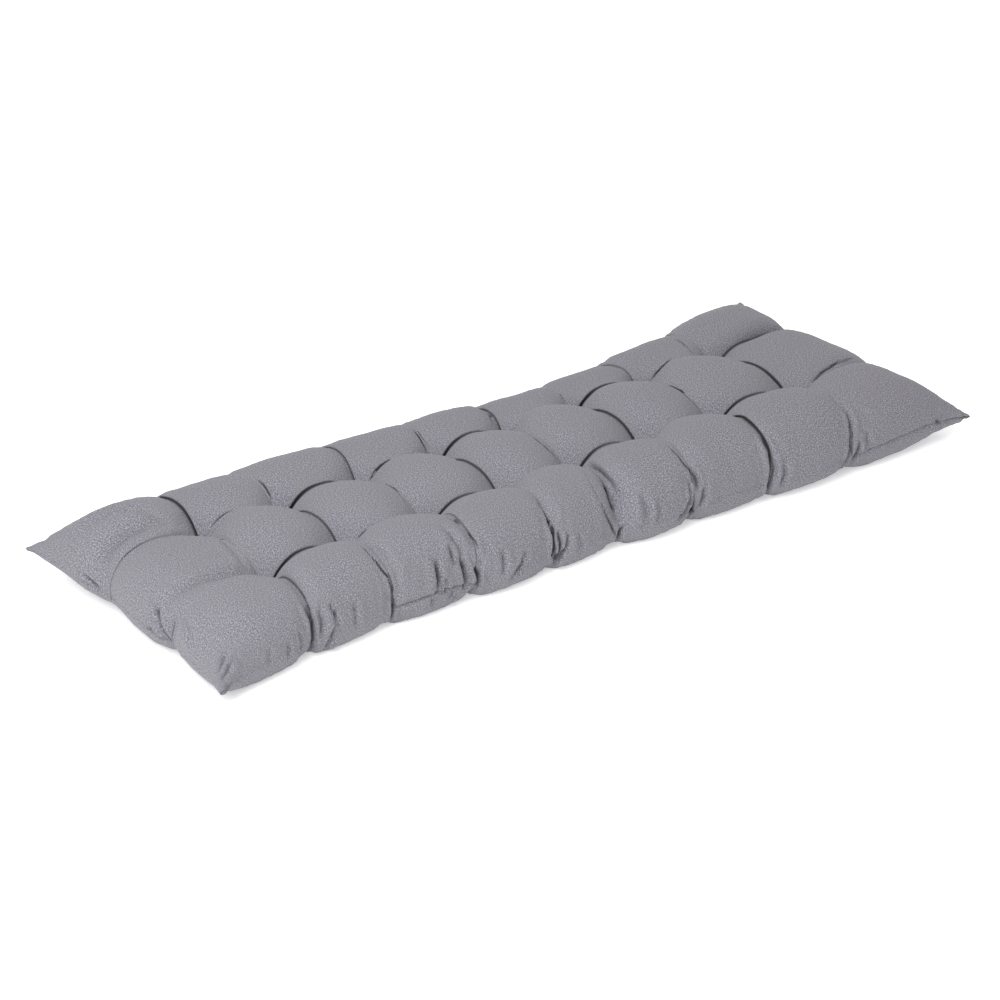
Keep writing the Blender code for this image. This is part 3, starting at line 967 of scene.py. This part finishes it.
def feed(tree, socket, value):
    """Links a socket to another, or sets its value."""
    if isinstance(value, bpy.types.NodeSocket):
        tree.links.new(value, socket)
    else:
        socket.default_value = value


def add_node(tree, kind, inputs, **settings):
    """The outputs of a new node, with its settings made and its inputs fed."""
    node = tree.nodes.new("ShaderNode" + kind)
    for name, value in settings.items():
        setattr(node, name, value)
    for name, value in inputs.items():
        feed(tree, node.inputs[name], value)
    return node.outputs


def calc(tree, operation, first, second=0.0, third=0.0):
    return add_node(tree, "Math", {0: first, 1: second, 2: third}, operation=operation)[0]


def ramp(tree, value, low, high, top=1.0):
    """0 below `low`, `top` above `high` and smooth between."""
    inputs = {"Value": value, "From Min": low, "From Max": high, "To Max": top}
    return add_node(tree, "MapRange", inputs, interpolation_type="SMOOTHSTEP")["Result"]


def mixed(tree, share, first, second):
    return add_node(tree, "Mix", {0: share, 6: first, 7: second}, data_type="RGBA")[2]


def smooth_pattern(tree, vector, scale, detail):
    return add_node(tree, "TexNoise", {"Vector": vector, "Scale": scale, "Detail": detail})


def node_group(name, numbers, outputs):
    """A shader node group that reads the lay of the cloth and numbers, with the group's two ends."""
    tree = bpy.data.node_groups.new(name, "ShaderNodeTree")
    tree.interface.new_socket(name="Lay", in_out="INPUT", socket_type="NodeSocketVector")
    for number, default in numbers.items():
        socket = tree.interface.new_socket(name=number, in_out="INPUT", socket_type="NodeSocketFloat")
        socket.default_value = default
    for output in outputs:
        tree.interface.new_socket(name=output, in_out="OUTPUT", socket_type="NodeSocketFloat")
    return tree, tree.nodes.new("NodeGroupInput").outputs, tree.nodes.new("NodeGroupOutput").inputs


def woven_threads_group():
    """Plain weave: threads go over and under each other, as a height from 0 to 1. They drift
    sideways a little, as in real cloth."""
    tree, given, out = node_group("woven threads", {"Pitch": 0.0009}, ["Height"])
    lay = add_node(tree, "SeparateXYZ", {0: given["Lay"]})
    drift = smooth_pattern(tree, given["Lay"], DRIFT_SCALE, 1.0)["Color"]
    drift = add_node(tree, "SeparateColor", {0: drift})
    u, v = (
        calc(tree, "MULTIPLY_ADD", drift[k], THREAD_DRIFT, calc(tree, "DIVIDE", lay[k], given["Pitch"]))
        for k in (0, 1))

    def thread(across, along):
        """Round section of one set of threads, high where they pass over the others."""
        section = calc(tree, "ABSOLUTE", calc(tree, "SINE", calc(tree, "MULTIPLY", across, math.pi)))
        turn = calc(tree, "ADD", along, calc(tree, "FLOOR", across))
        wave = calc(tree, "COSINE", calc(tree, "MULTIPLY", turn, math.pi))
        return calc(tree, "MULTIPLY", section, calc(tree, "MULTIPLY_ADD", wave, 0.5, 0.5))

    warp = thread(u, v)
    weft = thread(v, calc(tree, "ADD", u, 1.0))
    feed(tree, out["Height"], calc(tree, "MAXIMUM", warp, weft))
    return tree


def heathered_yarn_group():
    """Pale and dark fibres in the yarns, as flecks drawn out along both sets of threads."""
    tree, given, out = node_group(
        "heathered yarn", {"Fleck Length": 0.0022, "Fleck Width": 0.0012}, ["Light", "Dark", "Uneven"])
    lay = add_node(tree, "SeparateXYZ", {0: given["Lay"]})

    def flecks(long_axis, wide_axis, depth):
        u = calc(tree, "DIVIDE", lay[long_axis], given["Fleck Length"])
        v = calc(tree, "DIVIDE", lay[wide_axis], given["Fleck Width"])
        stretched = add_node(tree, "CombineXYZ", {0: u, 1: v, 2: depth})[0]
        return smooth_pattern(tree, stretched, 1.0, 1.0)["Fac"]

    both = calc(tree, "MULTIPLY", calc(tree, "ADD", flecks("X", "Y", 3.0), flecks("Y", "X", 11.0)), 0.5)
    feed(tree, out["Light"], ramp(tree, both, *LIGHT_FLECKS))
    feed(tree, out["Dark"], ramp(tree, both, *DARK_FLECKS))
    feed(tree, out["Uneven"], smooth_pattern(tree, given["Lay"], UNEVEN_SCALE, 2.0)["Fac"])
    return tree


def cloth_colour(tree, settings, yarn):
    """Heathered yarns, painted shade in folds, creases and valleys, and painted highlights on sharp ridges.
    """
    names = ("cloth_colour", "light_yarn", "dark_yarn", "crease_shade_colour")
    base, light, dark, crease = ((*getattr(settings, name), 1.0) for name in names)
    warm = (*(part * tint for part, tint in zip(base, WARM_TINT)), 1.0)
    colour = mixed(tree, calc(tree, "MULTIPLY", yarn["Light"], FLECK_SHARE), base, light)
    colour = mixed(tree, calc(tree, "MULTIPLY", yarn["Dark"], FLECK_SHARE), colour, dark)
    colour = mixed(tree, ramp(tree, yarn["Uneven"], 0.4, 0.7, WARM_SHARE), colour, warm)
    shade = add_node(tree, "Attribute", {}, attribute_name="fold_shade")["Fac"]
    # painted shade: folds, creases and the seam groove take on the crease shade colour by the fold_shade
    # attribute
    colour = mixed(tree, ramp(tree, shade, 0.1, 0.85, FOLD_DARKEST), colour, crease)
    bend = add_node(tree, "Attribute", {}, attribute_name="relief")["Fac"]
    # painted shade in sharp valleys, from the cloth's curvature
    colour = mixed(tree, ramp(tree, bend, 0.1, 1.0, VALLEY_SHARE), colour, crease)
    # painted highlight on sharp ridges, in the light yarn's colour
    return mixed(tree, ramp(tree, bend, -0.25, -1.0, RIDGE_SHARE), colour, light)


def new_material(name):
    material = bpy.data.materials.new(name)
    material.use_nodes = True
    return material, material.node_tree


def set_finish(tree, values):
    """Feeds the inputs of a material's shader."""
    for name, value in values.items():
        feed(tree, tree.nodes["Principled BSDF"].inputs[name], value)


def woven_cloth(settings):
    """Matt grey cloth with a fine plain weave and heathered yarns."""
    material, tree = new_material("woven_grey_cloth")
    lay = add_node(tree, "UVMap", {}, uv_map="weave")["UV"]
    weave = {"Lay": lay, "Pitch": settings.thread_pitch}
    threads = add_node(tree, "Group", weave, node_tree=woven_threads_group())["Height"]
    yarn = add_node(tree, "Group", {"Lay": lay}, node_tree=heathered_yarn_group())
    bump = add_node(tree, "Bump", {"Strength": 0.5, "Distance": 0.0003, "Height": threads})
    set_finish(tree, {
        "Base Color": cloth_colour(tree, settings, yarn),
        "Roughness": calc(tree, "MULTIPLY_ADD", threads, -0.06, 0.94),
        "Normal": bump["Normal"],
        "Metallic": 0.0,
        "Specular IOR Level": 0.25,
        "Sheen Weight": 0.12,
        "Sheen Roughness": 0.5,
    })
    return material


# Operators

class MakeCover(bpy.types.Operator):
    """Make the stuffed, tufted cover and its woven cloth"""

    bl_idname = "cushion.make_cover"
    bl_label = "Make the cover"

    def execute(self, context):
        settings = context.scene.cushion_cover
        cover, line, row, under = new_cover("cushion_cover", 1)
        shape_cover(cover, line, row, under, settings)
        lay_out_weave(cover, line, row, under)
        cover.data.materials.append(woven_cloth(settings))
        cover.data.shade_smooth()
        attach(cover, "root")
        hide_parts(SOLID)
        return {"FINISHED"}


class MakeStage(bpy.types.Operator):
    """Make the pale floor, the soft lights and the camera"""

    bl_idname = "cushion.make_stage"
    bl_label = "Make the stage"

    def execute(self, context):
        settings = context.scene.cushion_stage
        make_floor(settings)
        make_lights(settings)
        make_camera(context.scene)
        return {"FINISHED"}


def make_floor(settings):
    mesh = bmesh.new()
    bmesh.ops.create_grid(mesh, x_segments=1, y_segments=1, size=FLOOR_SIZE)
    floor = add_object("floor", mesh_data("floor", mesh))
    material, tree = new_material("pale_floor")
    colour = (*settings.floor_colour, 1.0)
    set_finish(tree, {
        "Base Color": colour,
        "Roughness": 0.9,
        "Emission Color": colour,
        "Emission Strength": settings.floor_glow,
    })
    floor.data.materials.append(material)
    floor.data.transform(Matrix.Translation((0.0, 0.0, -FLOOR_GAP)))


def stand(name, data, place, towards):
    """Puts a lamp or camera in its place and turns it in a direction."""
    made = add_object(name, data)
    made.location = place
    made.rotation_mode = "QUATERNION"
    made.rotation_quaternion = towards.to_track_quat("-Z", "Y")
    return made


def make_lights(settings):
    """Square soft lights that face the cushion, in an evenly lit room."""
    for name, place, size, power in (
            ("key_light", (-2.1, -1.2, 2.6), 2.4, settings.key_power),
            ("fill_light", (0.2, 1.0, 2.6), 2.0, settings.fill_power)):
        light = bpy.data.lights.new(name, "AREA")
        light.size = size
        light.energy = power
        stand(name, light, place, -Vector(place))
    world = bpy.data.worlds.new("pale_room")
    world.use_nodes = True
    sky = world.node_tree.nodes["Background"]
    sky.inputs["Color"].default_value = (1.0, 1.0, 1.0, 1.0)
    sky.inputs["Strength"].default_value = settings.room_light
    bpy.context.scene.world = world
    bpy.context.scene.view_settings.view_transform = "Standard"


def make_camera(scene):
    """The camera of the photograph."""
    data = bpy.data.cameras.new("photo_camera")
    data.sensor_width = SENSOR_WIDTH
    data.lens = SENSOR_WIDTH * FOCAL_PIXELS / PHOTO_PIXELS
    data.clip_end = 100.0
    scene.camera = stand("photo_camera", data, *photo_ray((PHOTO_PIXELS / 2, PHOTO_PIXELS / 2)))


class CushionPanel(bpy.types.Panel):
    """Buttons and settings of the cushion"""

    bl_label = "Tufted bench cushion"
    bl_idname = "VIEW3D_PT_cushion"
    bl_space_type = "VIEW_3D"
    bl_region_type = "UI"
    bl_category = "Cushion"

    def draw(self, context):
        for settings in (context.scene.cushion_cover, context.scene.cushion_stage):
            box = self.layout.box()
            for name in settings.__annotations__:
                box.prop(settings, name)
        for operator in (MakeCover, MakeStage):
            self.layout.operator(operator.bl_idname)


CLASSES = (CoverSettings, StageSettings, MakeCover, MakeStage, CushionPanel)


def register():
    for item in CLASSES:
        bpy.utils.register_class(item)
    bpy.types.Scene.cushion_cover = PointerProperty(type=CoverSettings)
    bpy.types.Scene.cushion_stage = PointerProperty(type=StageSettings)


def unregister():
    del bpy.types.Scene.cushion_stage
    del bpy.types.Scene.cushion_cover
    for item in reversed(CLASSES):
        bpy.utils.unregister_class(item)


def main():
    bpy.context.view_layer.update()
    register()
    bpy.ops.cushion.make_cover()
    bpy.ops.cushion.make_stage()


if __name__ == "__main__":
    main()
